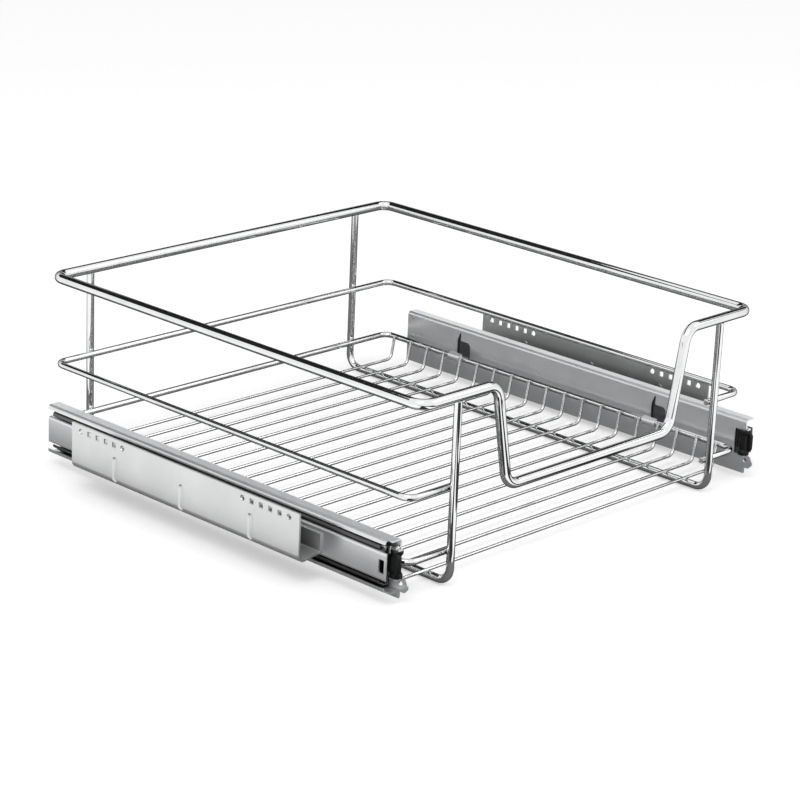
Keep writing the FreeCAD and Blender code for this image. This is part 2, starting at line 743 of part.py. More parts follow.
def make_bracket(name, side):
    """The mounting bracket: a plate for the cabinet's side, a floor, and an upright on the slide."""
    body = make_body(name)
    wall = s.bracket_wall
    plate = s.overall_width / 2
    face = plate - s.bracket_gap
    foot = s.bracket_foot
    section = [
        (plate, s.bracket_top),
        (plate, foot, s.bracket_bend),
        (face, foot + s.bracket_rise, s.upright_bend),
        (face, s.upright_top),
        (face + wall, s.upright_top),
        (face + wall, foot + s.bracket_rise + wall, s.upright_bend - wall),
        (plate - wall, foot + wall, s.bracket_bend - wall),
        (plate - wall, s.bracket_top),
    ]
    corners = [(corner[0] * side, *corner[1:]) for corner in section]
    pad_along_y(body, "channel", bracket_front, s.bracket_length, corners)
    plate_middle = (plate - wall / 2) * side
    row_height = s.bracket_top - s.screw_hole_drop
    square_span = s.square_hole_pitch * (s.square_hole_count - 1)
    for label, towards in (("front", -1), ("rear", 1)):
        middle = bracket_middle + s.screw_group_spacing / 2 * towards

        def screw_hole(sketch, middle=middle):
            draw_circle(sketch, middle - s.screw_hole_spacing / 2, row_height, s.screw_hole)

        hole = add_across(body, "PartDesign::Pocket", label + "_screw_hole", plate_middle, wall * 2,
                          screw_hole)
        repeat_along_y(body, label + "_screw_holes", hole, s.screw_hole_spacing, 2)

        def square_hole(sketch, middle=middle):
            first = middle - square_span / 2
            half = s.square_hole / 2
            draw_rectangle(sketch, (first - half, row_height - half), (first + half, row_height + half))

        hole = add_across(body, "PartDesign::Pocket", label + "_square_hole", plate_middle, wall * 2,
                          square_hole)
        repeat_along_y(body, label + "_square_holes", hole, s.square_hole_pitch, s.square_hole_count)

    def rib(sketch):
        middle = bracket_middle - s.rib_pitch * (s.rib_count - 1) / 2
        half, top = s.rib_width / 2, s.rib_foot + s.rib_height
        draw(sketch, [
            (middle - half + s.rib_corner, s.rib_foot),
            (middle + half - s.rib_corner, s.rib_foot),
            (middle + half, s.rib_foot + s.rib_corner),
            (middle + half, top - s.rib_corner),
            (middle + half - s.rib_corner, top),
            (middle - half + s.rib_corner, top),
            (middle - half, top - s.rib_corner),
            (middle - half, s.rib_foot + s.rib_corner),
        ])

    bulge = add_across(body, "PartDesign::Pad", "rib_bulge", (plate - wall) * side, s.rib_depth * 2, rib)
    repeat_along_y(body, "rib_bulges", bulge, s.rib_pitch, s.rib_count)
    recess = add_across(body, "PartDesign::Pocket", "rib_recess", plate * side, s.rib_depth * 2, rib)
    repeat_along_y(body, "rib_recesses", recess, s.rib_pitch, s.rib_count)

    def rivet_hole(sketch):
        draw_section(sketch, first_rivet, s.rivet_height, s.rivet_shank, RIVET_SIDES)

    upright_middle = (face + wall / 2) * side
    hole = add_across(body, "PartDesign::Pocket", "rivet_hole", upright_middle, wall * 2, rivet_hole)
    repeat_along_y(body, "rivet_holes", hole, s.rivet_pitch, s.rivet_count)
    return body


def make_rivets(name, side):
    """The rivets through the bracket's upright and the cabinet member's web."""
    body = make_body(name)
    body.AllowCompound = True
    face = s.overall_width / 2 - s.bracket_gap
    inside, outside = face - s.slide_wall, face + s.bracket_wall
    stages = (
        ("inner_head", inside - s.rivet_head_thick, inside, s.rivet_head),
        ("shank", inside, outside, s.rivet_shank),
        ("outer_head", outside, outside + s.rivet_head_thick, s.rivet_head),
    )
    features = []
    for label, start, end, diameter in stages:

        def disc(sketch, diameter=diameter):
            draw_section(sketch, first_rivet, s.rivet_height, diameter, RIVET_SIDES)

        middle = (start + end) / 2 * side
        features.append(add_across(body, "PartDesign::Pad", label, middle, end - start, disc))
    pattern = repeat_along_y(body, "row", features[0], s.rivet_pitch, s.rivet_count)
    pattern.Originals = features
    return body


pieces = [
    make_rim(),
    make_ring("middle_ring", s.middle_ring_height),
    make_ring("lower_ring", s.lower_ring_height),
    make_floor_wires(),
]
outer_cage_height = s.slide_height / 2 - s.slide_wall - s.cage_play - s.shoulder_drop / 4
inner_cage_height = middle_flange - s.middle_wall - s.cage_play
for label, side in SIDES:
    pieces.append(make_u_frame(label + "_u_frame", side))
    pieces.append(make_basket_member(label + "_basket_member", side))
    pieces.append(make_intermediate_member(label + "_intermediate_member", side))
    pieces.append(make_cabinet_member(label + "_cabinet_member", side))
    pieces.append(make_cage(label + "_outer_cage", side, s.slide_wall + s.cage_play, outer_cage_height,
                            outer_ball_depth + s.outer_ball / 4, outer_ball_depth, s.outer_ball))
    pieces.append(make_balls(label + "_outer_balls", side, outer_ball_depth, outer_ball_height, s.outer_ball))
    pieces.append(make_cage(label + "_inner_cage", side, middle_back + s.middle_wall + s.cage_play,
                            inner_cage_height, inner_ball_depth + s.inner_ball / 6, inner_ball_depth,
                            s.inner_ball))
    pieces.append(make_balls(label + "_inner_balls", side, inner_ball_depth, inner_ball_height, s.inner_ball))
    pieces.append(make_bumper(label + "_bumper", side))
    pieces.append(make_bracket(label + "_mounting_bracket", side))
    pieces.append(make_rivets(label + "_bracket_rivets", side))

document.recompute()
failed = [item.Label for item in document.Objects if {"Invalid", "Error"} & set(item.State)]
for item in document.Objects:
    if item.TypeId == "PartDesign::Pocket" and item.Shape.Volume >= item.BaseFeature.Shape.Volume:
        failed.append(item.Label + " cuts nothing")
for piece in pieces:
    if piece.Shape.isNull() or not piece.Shape.isValid():
        failed.append(piece.Label)
if failed:
    raise RuntimeError("these failed: " + ", ".join(failed))

os.makedirs("parts", exist_ok=True)
for piece in pieces:
    piece.Shape.exportStep(f"parts/{piece.Label}.step")
    box = piece.Shape.BoundBox
    print(f"{piece.Label}: {len(piece.Shape.Solids)} solids, {piece.Shape.Volume:.1f} mm3,"
          f" {box.XMin:.2f}..{box.XMax:.2f}, {box.YMin:.2f}..{box.YMax:.2f}, {box.ZMin:.2f}..{box.ZMax:.2f}")
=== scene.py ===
import bpy
import math
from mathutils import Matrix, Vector


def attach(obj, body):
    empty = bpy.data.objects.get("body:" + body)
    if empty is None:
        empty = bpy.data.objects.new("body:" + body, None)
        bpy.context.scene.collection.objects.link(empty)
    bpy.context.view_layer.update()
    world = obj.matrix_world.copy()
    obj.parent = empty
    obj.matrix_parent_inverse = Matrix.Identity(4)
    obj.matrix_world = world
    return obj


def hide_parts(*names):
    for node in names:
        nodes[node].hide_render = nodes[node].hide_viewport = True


# Pull-out wire basket on a pair of three-section ball-bearing slides, in metres.
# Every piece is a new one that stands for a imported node, apart from the brackets' rivets.

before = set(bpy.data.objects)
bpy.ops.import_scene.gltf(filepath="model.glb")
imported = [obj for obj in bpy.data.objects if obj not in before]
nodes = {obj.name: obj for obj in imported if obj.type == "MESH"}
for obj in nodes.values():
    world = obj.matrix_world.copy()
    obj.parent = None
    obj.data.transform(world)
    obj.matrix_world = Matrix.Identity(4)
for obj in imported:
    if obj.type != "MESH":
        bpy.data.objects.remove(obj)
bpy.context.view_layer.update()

SIDES = (("left", -1), ("right", 1))
CARRIAGE, CABINET = "basket_carriage", "cabinet_side"

# Basket wires: diameters, then the rim with its front dip, the rings, the U-frames and the floor.
RIM_WIRE, FRAME_WIRE, RING_WIRE, FLOOR_WIRE = 0.008, 0.006, 0.005, 0.0025
RIM_SIDE, RIM_FRONT, RIM_BACK, RIM_HEIGHT = 0.184, -0.199, 0.201, 0.1435
RIM_BEND, DIP_BEND, RING_BEND, FRAME_BEND = 0.010, 0.013, 0.009, 0.011
DIP_TOP, DIP_BOTTOM, DIP_HEIGHT = 0.107, 0.092, 0.0635
RING_SIDE, RING_FRONT, RING_BACK, RING_PASS = 0.187, -0.19345, 0.19545, 0.003
MIDDLE_RING, LOWER_RING = 0.0742, 0.0258
FRAME_SIDE, FRAME_FOOT, FRAME_WELD = 0.1477, 0.003, 0.0006
FLOOR_HEIGHT, FLOOR_PITCH, FLOOR_COUNT = 0.0073, 0.020, 19
FLOOR_TURN, FLOOR_END, FLOOR_RISE, FLOOR_BEND = 0.179, 0.18305, 0.0025, 0.006

# Mesh steps: sides of wires and turned shapes, faces of a bend, the narrow band at a straight run's
# ends, the merging distance, the size of a seed point before it is merged, the share of a wire that
# rounds its ends, and the widest angles in degrees that are shaded smooth.
RIM_SIDES, WIRE_SIDES, FLOOR_SIDES, TURNED_SIDES, PIN_SIDES = 32, 24, 12, 28, 16
WIRE_STEPS, FOLD_STEPS, PRESS_STEPS, BRACKET_STEPS = 10, 4, 6, 8
BAND, MERGE, SEED, END_ROUNDING = 0.0004, 1e-6, 0.001, 0.08
WIRE_SHADE, SHEET_SHADE, BUMPER_SHADE, BALL_SHADE = 40, 30, 35, 180

# Section of the slides: depths run from the back of the basket member towards the cabinet side,
# and heights run up from the slide's middle. The clear heights are below and above a whole slide.
SLIDE_FRONT, SLIDE_BACK, SLIDE_MIDDLE, SLIDE_LENGTH = -0.197, 0.1961, 0.029, 0.375
SLIDE_TOP, SLIDE_DEPTH, STACK_DEPTH, HEM = 0.020, 0.0127, 0.0132, 0.005
WALL, MIDDLE_WALL, CAGE_WALL = 0.0012, 0.0009, 0.0005
OUTER_BALL, INNER_BALL, PLAY, CAGE_PLAY = 0.0035, 0.0032, 0.0001, 0.00025
LIP_OVERLAP, SHOULDER_DROP, WEB_PLAY, MIDDLE_LIP = 0.0005, 0.0017, 0.001, 0.012
OUTER_DEPTH = SLIDE_DEPTH - WALL - PLAY - OUTER_BALL / 2
OUTER_HEIGHT = SLIDE_TOP - WALL - PLAY - OUTER_BALL / 2
MIDDLE_BACK = WALL + WEB_PLAY
MIDDLE_STEP = OUTER_DEPTH - OUTER_BALL / 2 - PLAY
MIDDLE_SHOULDER = SLIDE_TOP - WALL - SHOULDER_DROP
MIDDLE_FLANGE = OUTER_HEIGHT - OUTER_BALL / 2 - PLAY
INNER_DEPTH = MIDDLE_LIP - MIDDLE_WALL - PLAY - INNER_BALL / 2
INNER_HEIGHT = MIDDLE_FLANGE - MIDDLE_WALL - PLAY - INNER_BALL / 2
CABINET_STEP = INNER_DEPTH - INNER_BALL / 2 - PLAY
CABINET_FLANGE = INNER_HEIGHT - INNER_BALL / 2 - PLAY
CABINET_LIP = MIDDLE_FLANGE - MIDDLE_WALL - CAGE_WALL - CAGE_PLAY * 2
OUTER_CAGE_TOP = SLIDE_TOP - WALL - CAGE_PLAY - SHOULDER_DROP / 4
INNER_CAGE_TOP = MIDDLE_FLANGE - MIDDLE_WALL - CAGE_PLAY
INTERMEDIATE_FRONT, INTERMEDIATE_LENGTH = SLIDE_FRONT + 0.010, 0.360
CABINET_FRONT, CABINET_LENGTH = SLIDE_FRONT + 0.0024, 0.3714
CAGE_LENGTH, BALL_COUNT, BALL_PITCH = 0.156, 5, 0.032
CAGE_MIDDLE = SLIDE_FRONT + SLIDE_LENGTH / 2
OUTER_RACE, INNER_RACE = OUTER_BALL / 2 + PLAY / 2, INNER_BALL / 2 + PLAY / 2
CLEAR_LOW, CLEAR_HIGH = -0.01, 0.07

# Front of the slides: the bumper on its pin, the tabs that hold it, the lips' ends, the ear, and the
# slot in the cabinet member's tongue. The knob is a share of the pin, its shoulder and point of the knob.
# A row of the ear's outline holds how far forward it is, how far up from the ear's foot, and its bend.
BUMPER_FRONT, BUMPER_MIDDLE, BUMPER_DEPTH = SLIDE_FRONT + 0.0025, SLIDE_MIDDLE + 0.0007, 0.0022
BUMPER_HALF, BUMPER_WIDTH, BUMPER_WAIST = 0.0105, 0.0094, 0.0068
SPOOL_EDGE, SPOOL_FLANGE, SPOOL_STEP, SPOOL_STEP_END, SPOOL_NECK = 0.0006, 0.0024, 0.0003, 0.0030, 0.0044
PAD_FRONT, PAD_BACK, PAD_NEAR, PAD_FAR = SLIDE_FRONT - 0.0036, SLIDE_FRONT + 0.0075, 0.0030, 0.0062
PAD_CUT_ALONG, PAD_CUT_UP, PAD_ROUNDING, PAD_ROOM = 0.0042, 0.0048, 0.0008, 0.0006
NOTCH, TAB_WIDTH, LIP_CUT = 0.0105, 0.008, 0.0045
TAB_PIN, PIN_FOOT, PIN_HEAD, PIN_TIP, PIN_OVERRUN = 0.0024, 0.0006, 0.0009, 0.0018, 0.001
PIN_KNOB, PIN_SHOULDER, PIN_POINT = 0.8, 1.1, 0.5
EAR_FOOT = SLIDE_MIDDLE - SLIDE_TOP + 0.0003
EAR_HOLE, EAR_HOLE_FORWARD, EAR_HOLE_DROP = 0.0036, 0.0015, 0.0135
EAR = (
    (-0.004, 0),
    (0.0050, 0, 0.002),
    (0.0080, 0.0035, 0.0015),
    (0.0080, 0.0060, 0.0015),
    (0.0060, 0.0100, 0.001),
    (-0.004, 0.0125),
)
SLOT_INSET, SLOT_WIDTH, SLOT_HEIGHT, SLOT_BEND = 0.0043, 0.0052, 0.0102, 0.0008

# Along the slides: the two hooks with their windows, and the small holes at the rear end.
HOOKS, HOOK_WIDTH, HOOK_PLAY, HOOK_ROUND = (0.089, 0.307), 0.013, 0.0001, 0.98
WINDOW_HEIGHT, WINDOW_GAP, WINDOW_BEND = 0.0142, 0.0012, 0.004
HORN, HORN_LEAN, HORN_TIP, HORN_ROOT, HORN_ROOT_BEND = 0.007, 0.003, 0.0042, 0.004, 0.0012
REAR_HOLE, REAR_HOLE_INSET, REAR_HOLE_DROPS = 0.0024, 0.0065, (0.0045, 0.021)

# Mounting bracket: its plate, floor and upright, two groups of holes and three pressed ribs.
PLATE, BRACKET_FACE, BRACKET_WALL = 0.232, 0.2093, 0.0015
BRACKET_FRONT, BRACKET_LENGTH, BRACKET_FOOT, BRACKET_TOP = SLIDE_FRONT + 0.066, 0.251, 0.0175, 0.0556
BRACKET_MIDDLE = BRACKET_FRONT + BRACKET_LENGTH / 2
BRACKET_RISE, UPRIGHT_TOP = 0.003, 0.0355
PLATE_BEND, PLATE_INNER_BEND, UPRIGHT_BEND, UPRIGHT_INNER_BEND = 0.0055, 0.004, 0.0025, 0.001
HOLE_ROW, HOLE_GROUPS, HOLE_SPREAD, SCREW_HOLE = 0.0506, 0.1812, 0.0485, 0.0046
SQUARE_COUNT, SQUARE_PITCH, SQUARE_HOLE = 4, 0.0097, 0.0042
RIB_PITCH, RIB_WIDTH, RIB_HEIGHT, RIB_FOOT, RIB_DEPTH = 0.075, 0.006, 0.021, 0.0205, 0.0009
RIB_ROUND, RIB_TAPER, RIB_OVERRUN = 0.49, (1, 0.5, 0.86), 0.0001

# Finishes: colour pairs that a cloudy pattern blends, roughness ranges, and the scales of the patterns.
CHROME_COLOURS, CHROME_ROUGHNESS = ((0.80, 0.805, 0.81), (0.87, 0.875, 0.88)), (0.03, 0.07)
PLASTIC_COLOURS, PLASTIC_ROUGHNESS = ((0.003, 0.0035, 0.004), (0.006, 0.0065, 0.007)), (0.35, 0.5)
# Painted shade: the dark colour that corners are blended towards, and the occlusion range that the blend
# runs over.
PAINTED_SHADE_COLOUR, PAINTED_SHADE_FROM, PAINTED_SHADE_TO = (0.02, 0.02, 0.022, 1), 0.15, 0.6
SMEAR_SCALE, RUB_SCALE, PIT_SCALE, STREAK_SCALE, CLOUD_SCALE = 60, 220, 900, 500, 25
MOULD_CLOUD_SCALE, MOULD_RUB_SCALE, MOULD_PIT_SCALE = 90, 700, 1800
CHROME_RELIEF, ZINC_RELIEF, PLASTIC_RELIEF = 0.000004, 0.000002, 0.00002
ZINC_METAL, PLASTIC_GLOSS, NOISE_DETAIL, NOISE_LOW, NOISE_HIGH = 0.8, 0.25, 4, 0.35, 0.65
ROLLED, PLAIN = (1, 0.05, 1), (1, 1, 1)
# How far the painted corner shade reaches on the slides and on the deeper brackets.
NEAR_PAINTED_SHADE, DEEP_PAINTED_SHADE = 0.006, 0.03


def leave_all():
    """Back to object mode with nothing selected."""
    if bpy.context.object and bpy.context.object.mode == "EDIT":
        bpy.ops.object.mode_set(mode="OBJECT")
    bpy.ops.object.select_all(action="DESELECT")


def take(piece):
    """Select one piece alone and make it the active one."""
    leave_all()
    piece.select_set(True)
    bpy.context.view_layer.objects.active = piece


def settle(piece, name, angle):
    """Name a finished piece, put its place in its mesh, close its normals and shade it."""
    take(piece)
    piece.name = name
    piece.data.name = name
    bpy.ops.object.transform_apply(location=True, rotation=True, scale=True)
    bpy.ops.object.mode_set(mode="EDIT")
    bpy.ops.mesh.select_all(action="SELECT")
    bpy.ops.mesh.remove_doubles(threshold=MERGE)
    bpy.ops.mesh.normals_make_consistent(inside=False)
    bpy.ops.object.mode_set(mode="OBJECT")
    bpy.ops.object.shade_smooth_by_angle(angle=math.radians(angle))
    leave_all()
    return piece


def repeat(piece, label, count, step):
    """Copies of a piece at an even step."""
    take(piece)
    row = piece.modifiers.new(label, "ARRAY")
    row.count = count
    row.use_relative_offset = False
    row.use_constant_offset = True
    row.constant_offset_displace = step
    bpy.ops.object.modifier_apply(modifier=label)


def combine(piece, other, operation):
    """Join a piece with another shape by a Boolean, and use the other up."""
    take(piece)
    change = piece.modifiers.new(operation.lower(), "BOOLEAN")
    change.operation = operation
    change.solver = "EXACT"
    change.object = other
    bpy.ops.object.modifier_apply(modifier=change.name)
    bpy.data.objects.remove(other)


def cut(piece, other):
    """Cut another shape out of a piece."""
    combine(piece, other, "DIFFERENCE")


def fuse(piece, other):
    """Fuse another shape onto a piece."""
    combine(piece, other, "UNION")


def run_straight(here, stop, band):
    """Extrude a straight run, with a narrow band at each end that keeps the bends out of its shading."""
    run = stop - here
    lengths = (run.length,)
    if band and run.length > band * 4:
        lengths = (band, run.length - band * 2, band)
    for length in lengths:
        bpy.ops.mesh.extrude_region_move(TRANSFORM_OT_translate={"value": run.normalized() * length})


def drag(route, steps):
    """Pull what is selected along a route's straight runs and spin it round its bends.

    A corner of the route is a point, and a fourth number in it is the radius of its bend.
    """
    here = Vector(route[0][:3])
    band = BAND if any(len(corner) > 3 for corner in route) else 0
    for before, corner, after in zip(route, route[1:], route[2:]):
        stop = Vector(corner[:3])
        if len(corner) == 3:
            run_straight(here, stop, band)
            here = stop
            continue
        into = (stop - Vector(before[:3])).normalized()
        out = (Vector(after[:3]) - stop).normalized()
        angle = into.angle(out)
        run = corner[3] * math.tan(angle / 2)
        start = stop - into * run
        axis = into.cross(out).normalized()
        run_straight(here, start, band)
        bpy.ops.mesh.spin(steps=steps, angle=-angle, center=start + axis.cross(into) * corner[3], axis=axis)
        here = stop + out * run
    run_straight(here, Vector(route[-1][:3]), band)


def pull_wire(name, route, wire, sides=WIRE_SIDES, closed=False):
    """A round wire: an edge ring dragged along a route. Open ends are filled and rounded."""
    if closed:
        route = [*route, route[0]]
    leave_all()
    start = Vector(route[0][:3])
    along = (Vector(route[1][:3]) - start).normalized()
    bpy.ops.mesh.primitive_circle_add(vertices=sides, radius=wire / 2, location=start,
                                      rotation=along.to_track_quat("Z", "Y").to_euler())
    piece = bpy.context.object
    bpy.ops.object.transform_apply(location=True, rotation=True, scale=True)
    bpy.ops.object.mode_set(mode="EDIT")
    bpy.ops.mesh.select_all(action="SELECT")
    drag(route, WIRE_STEPS)
    if not closed:
        bpy.ops.mesh.select_all(action="DESELECT")
        bpy.ops.mesh.select_non_manifold(extend=False)
        bpy.ops.mesh.fill_holes(sides=0)
        bpy.ops.mesh.select_all(action="DESELECT")
        bpy.ops.mesh.select_mode(type="FACE")
        bpy.ops.mesh.select_face_by_sides(number=4, type="GREATER")
        bpy.ops.mesh.bevel(offset=wire * END_ROUNDING, segments=2)
        bpy.ops.mesh.select_mode(type="VERT")
    return settle(piece, name, WIRE_SHADE)


def press(outline, through, steps=FOLD_STEPS, taper=None):
    """A shape of sheet: one point drawn round an outline, then filled and extruded through a thickness.

    A taper scales the far face about the middle of the outline's corners.
    """
    middle = (Vector(outline[0][:3]) + Vector(outline[-1][:3])) / 2
    leave_all()
    bpy.ops.mesh.primitive_plane_add(size=SEED, location=middle)
    piece = bpy.context.object
    bpy.ops.object.transform_apply(location=True, rotation=True, scale=True)
    bpy.ops.object.mode_set(mode="EDIT")
    bpy.ops.mesh.select_mode(type="VERT")
    bpy.ops.mesh.select_all(action="SELECT")
    bpy.ops.mesh.merge(type="CENTER")
    drag([tuple(middle), *outline, tuple(middle)], steps)
    bpy.ops.mesh.select_all(action="SELECT")
    bpy.ops.mesh.remove_doubles(threshold=MERGE)
    bpy.ops.mesh.edge_face_add()
    bpy.ops.mesh.extrude_region_move(TRANSFORM_OT_translate={"value": Vector(through)})
    if taper:
        corners = [Vector(corner[:3]) for corner in outline]
        bpy.ops.transform.resize(value=taper, center_override=sum(corners, Vector()) / len(corners))
    bpy.ops.mesh.select_all(action="SELECT")
    bpy.ops.mesh.normals_make_consistent(inside=False)
    bpy.ops.object.mode_set(mode="OBJECT")
    return piece


def fold_channel(side, start, length, section):
    """A rolled channel along the slide, from its section's corners (depth, height[, bend])."""
    outline = []
    for depth, height, *bend in section:
        outline.append((side * (SLIDE_BACK + depth), start, SLIDE_MIDDLE + height, *bend))
    return press(outline, (0, length, 0))


def both_halves(upper):
    """A whole section from its upper half, mirrored in the slide's middle."""
    lower = [(depth, -height, *bend) for depth, height, *bend in reversed(upper)]
    return upper + lower


def sideways(side, outline, near, far, taper=None):
    """A shape drawn in Y and Z, from one depth of the slide to another."""
    corners = [(side * (SLIDE_BACK + near), along, up, *bend) for along, up, *bend in outline]
    return press(corners, (side * (far - near), 0, 0), PRESS_STEPS, taper)


def block(side, low, high, near, far):
    """A box between two corners in Y and Z, from one depth of the slide to another."""
    corners = [(low[0], low[1]), (high[0], low[1]), (high[0], high[1]), (low[0], high[1])]
    return sideways(side, corners, near, far)


def drill(across, along, up, diameter, depth):
    """A round cutter that points along X."""
    leave_all()
    bpy.ops.mesh.primitive_cylinder_add(vertices=TURNED_SIDES, radius=diameter / 2, depth=depth,
                                        location=(across, along, up), rotation=(0, math.pi / 2, 0))
    return bpy.context.object


def turn_round(centre, stages, sides=TURNED_SIDES):
    """A turned shape on an upright axis, from stages of height above the centre and radius."""
    leave_all()
    first_height, first_radius = stages[0]
    low = Vector(centre) + Vector((0, 0, first_height))
    bpy.ops.mesh.primitive_circle_add(vertices=sides, radius=first_radius, fill_type="NGON", location=low)
    piece = bpy.context.object
    bpy.ops.object.transform_apply(location=True, rotation=True, scale=True)
    bpy.ops.object.mode_set(mode="EDIT")
    bpy.ops.mesh.select_all(action="SELECT")
    for (height, radius), (next_height, next_radius) in zip(stages, stages[1:]):
        grow = next_radius / radius
        bpy.ops.mesh.extrude_region_move(TRANSFORM_OT_translate={"value": (0, 0, next_height - height)})
        bpy.ops.transform.resize(value=(grow, grow, 1), center_override=centre)
    bpy.ops.object.mode_set(mode="OBJECT")
    return piece


def make_rim():
    """The rim loop, which dips at the front."""
    side, front, back, top, low = RIM_SIDE, RIM_FRONT, RIM_BACK, RIM_HEIGHT, DIP_HEIGHT
    route = [
        (0, front, low),
        (DIP_BOTTOM, front, low, DIP_BEND),
        (DIP_TOP, front, top, DIP_BEND),
        (side, front, top, RIM_BEND),
        (side, back, top, RIM_BEND),
        (-side, back, top, RIM_BEND),
        (-side, front, top, RIM_BEND),
        (-DIP_TOP, front, top, DIP_BEND),
        (-DIP_BOTTOM, front, low, DIP_BEND),
    ]
    return pull_wire("rim_wire", route, RIM_WIRE, RIM_SIDES, closed=True)


def make_ring(name, height):
    """A ring, open at the front between the two uprights."""
    end = FRAME_SIDE - RING_PASS
    route = [
        (end, RING_FRONT, height),
        (RING_SIDE, RING_FRONT, height, RING_BEND),
        (RING_SIDE, RING_BACK, height, RING_BEND),
        (-RING_SIDE, RING_BACK, height, RING_BEND),
        (-RING_SIDE, RING_FRONT, height, RING_BEND),
        (-end, RING_FRONT, height),
    ]
    return pull_wire(name, route, RING_WIRE)


def make_u_frame(name, side):
    """A U-frame: down from the rim, under the floor and up again."""
    across = FRAME_SIDE * side
    top = RIM_HEIGHT - RIM_WIRE / 2 + FRAME_WELD
    route = [
        (across, RIM_FRONT, top),
        (across, RIM_FRONT, FRAME_FOOT, FRAME_BEND),
        (across, RIM_BACK, FRAME_FOOT, FRAME_BEND),
        (across, RIM_BACK, top),
    ]
    return pull_wire(name, route, FRAME_WIRE)


def make_floor_wires():
    """One floor wire, turned up at both ends, then the row of them."""
    first = (RIM_FRONT + RIM_BACK) / 2 - FLOOR_PITCH * (FLOOR_COUNT - 1) / 2
    top = LOWER_RING + FLOOR_RISE
    route = [
        (-FLOOR_END, first, top),
        (-FLOOR_TURN, first, FLOOR_HEIGHT, FLOOR_BEND),
        (FLOOR_TURN, first, FLOOR_HEIGHT, FLOOR_BEND),
        (FLOOR_END, first, top),
    ]
    piece = pull_wire("floor_wire_row", route, FLOOR_WIRE, FLOOR_SIDES)
    repeat(piece, "row", FLOOR_COUNT, (0, FLOOR_PITCH, 0))
    return piece


def make_basket_member(name, side):
    """The member that carries the basket: races along both edges, a folded hem, hooks, tabs and an ear."""
    lip = OUTER_HEIGHT - LIP_OVERLAP
    inside = SLIDE_DEPTH - WALL
    section = [
        (0, SLIDE_TOP, WALL * 2),
        (SLIDE_DEPTH, SLIDE_TOP, OUTER_RACE + WALL),
        (SLIDE_DEPTH, lip),
        (inside, lip),
        (inside, SLIDE_TOP - WALL, OUTER_RACE),
        (WALL, SLIDE_TOP - WALL, WALL),
        (WALL, WALL - SLIDE_TOP, WALL),
        (inside, WALL - SLIDE_TOP, OUTER_RACE),
        (inside, -lip),
        (SLIDE_DEPTH, -lip),
        (SLIDE_DEPTH, -SLIDE_TOP, OUTER_RACE + WALL),
        (WALL * 2, -SLIDE_TOP),
        (WALL * 2, -SLIDE_TOP - HEM, WALL * 0.9),
        (0, -SLIDE_TOP - HEM, WALL * 0.9),
    ]
    piece = fold_channel(side, SLIDE_FRONT, SLIDE_LENGTH, section)
    ear = [(SLIDE_FRONT - forward, EAR_FOOT + up, *bend) for forward, up, *bend in EAR]
    fuse(piece, sideways(side, ear, 0, WALL))
    web = side * (SLIDE_BACK + WALL / 2)
    cut(piece, drill(web, SLIDE_FRONT - EAR_HOLE_FORWARD, SLIDE_MIDDLE - EAR_HOLE_DROP, EAR_HOLE, WALL * 6))
    rear = SLIDE_FRONT + SLIDE_LENGTH - REAR_HOLE_INSET
    for drop in REAR_HOLE_DROPS:
        cut(piece, drill(web, rear, SLIDE_MIDDLE + SLIDE_TOP - drop, REAR_HOLE, WALL * 3))
    for place in HOOKS:
        start = SLIDE_FRONT + place - HOOK_WIDTH / 2
        cut(piece, make_window(side, start))
        fuse(piece, make_tongue(side, start))
    cut(piece, block(side, (SLIDE_FRONT - LIP_CUT, CLEAR_LOW), (SLIDE_FRONT + LIP_CUT, CLEAR_HIGH),
                     SLIDE_DEPTH - OUTER_RACE - WALL, SLIDE_DEPTH + WALL))
    low, high = BUMPER_MIDDLE - BUMPER_HALF, BUMPER_MIDDLE + BUMPER_HALF
    cut(piece, block(side, (SLIDE_FRONT - NOTCH, low), (SLIDE_FRONT + NOTCH, high), -WALL, WALL * 2))
    for start, end in ((low - WALL, low), (high, high + WALL)):
        fuse(piece, block(side, (BUMPER_FRONT - TAB_WIDTH / 2, start), (BUMPER_FRONT + TAB_WIDTH / 2, end),
                          WALL / 2, BUMPER_DEPTH + TAB_PIN))
    fuse(piece, make_bumper_pin(side))
    return settle(piece, name, SHEET_SHADE)


def make_window(side, start):
    """The cutter for a hook's window: a rounded opening with a curved horn above its back end."""
    front, back = start - WINDOW_GAP, start + HOOK_WIDTH + WINDOW_GAP
    foot = LOWER_RING - RING_WIRE / 2 - HOOK_PLAY
    top = foot + WINDOW_HEIGHT
    window = [
        (front, foot),
        (back, foot),
        (back, top, HORN),
        (back - HORN_LEAN, top + HORN),
        (back - HORN_TIP, top + HORN),
        (back - HORN_ROOT, top, HORN_ROOT_BEND),
        (front, top, WINDOW_BEND),
    ]
    return sideways(side, window, -WALL, WALL * 2)


def make_tongue(side, start):
    """A hook tongue: out of the web, under the lower ring and round it."""
    grip = RING_WIRE / 2 + HOOK_PLAY
    outer = grip + WALL
    low, high = LOWER_RING - grip, LOWER_RING + grip
    root = SLIDE_BACK + WALL * 0.9
    outline = [
        (root * side, start, low),
        ((RING_SIDE - grip) * side, start, low, grip * HOOK_ROUND),
        ((RING_SIDE - grip) * side, start, high, grip * HOOK_ROUND),
        (RING_SIDE * side, start, high),
        (RING_SIDE * side, start, high + WALL),
        ((RING_SIDE - outer) * side, start, high + WALL, outer * HOOK_ROUND),
        ((RING_SIDE - outer) * side, start, low - WALL, outer * HOOK_ROUND),
        (root * side, start, low - WALL),
    ]
    return press(outline, (0, HOOK_WIDTH, 0), PRESS_STEPS)


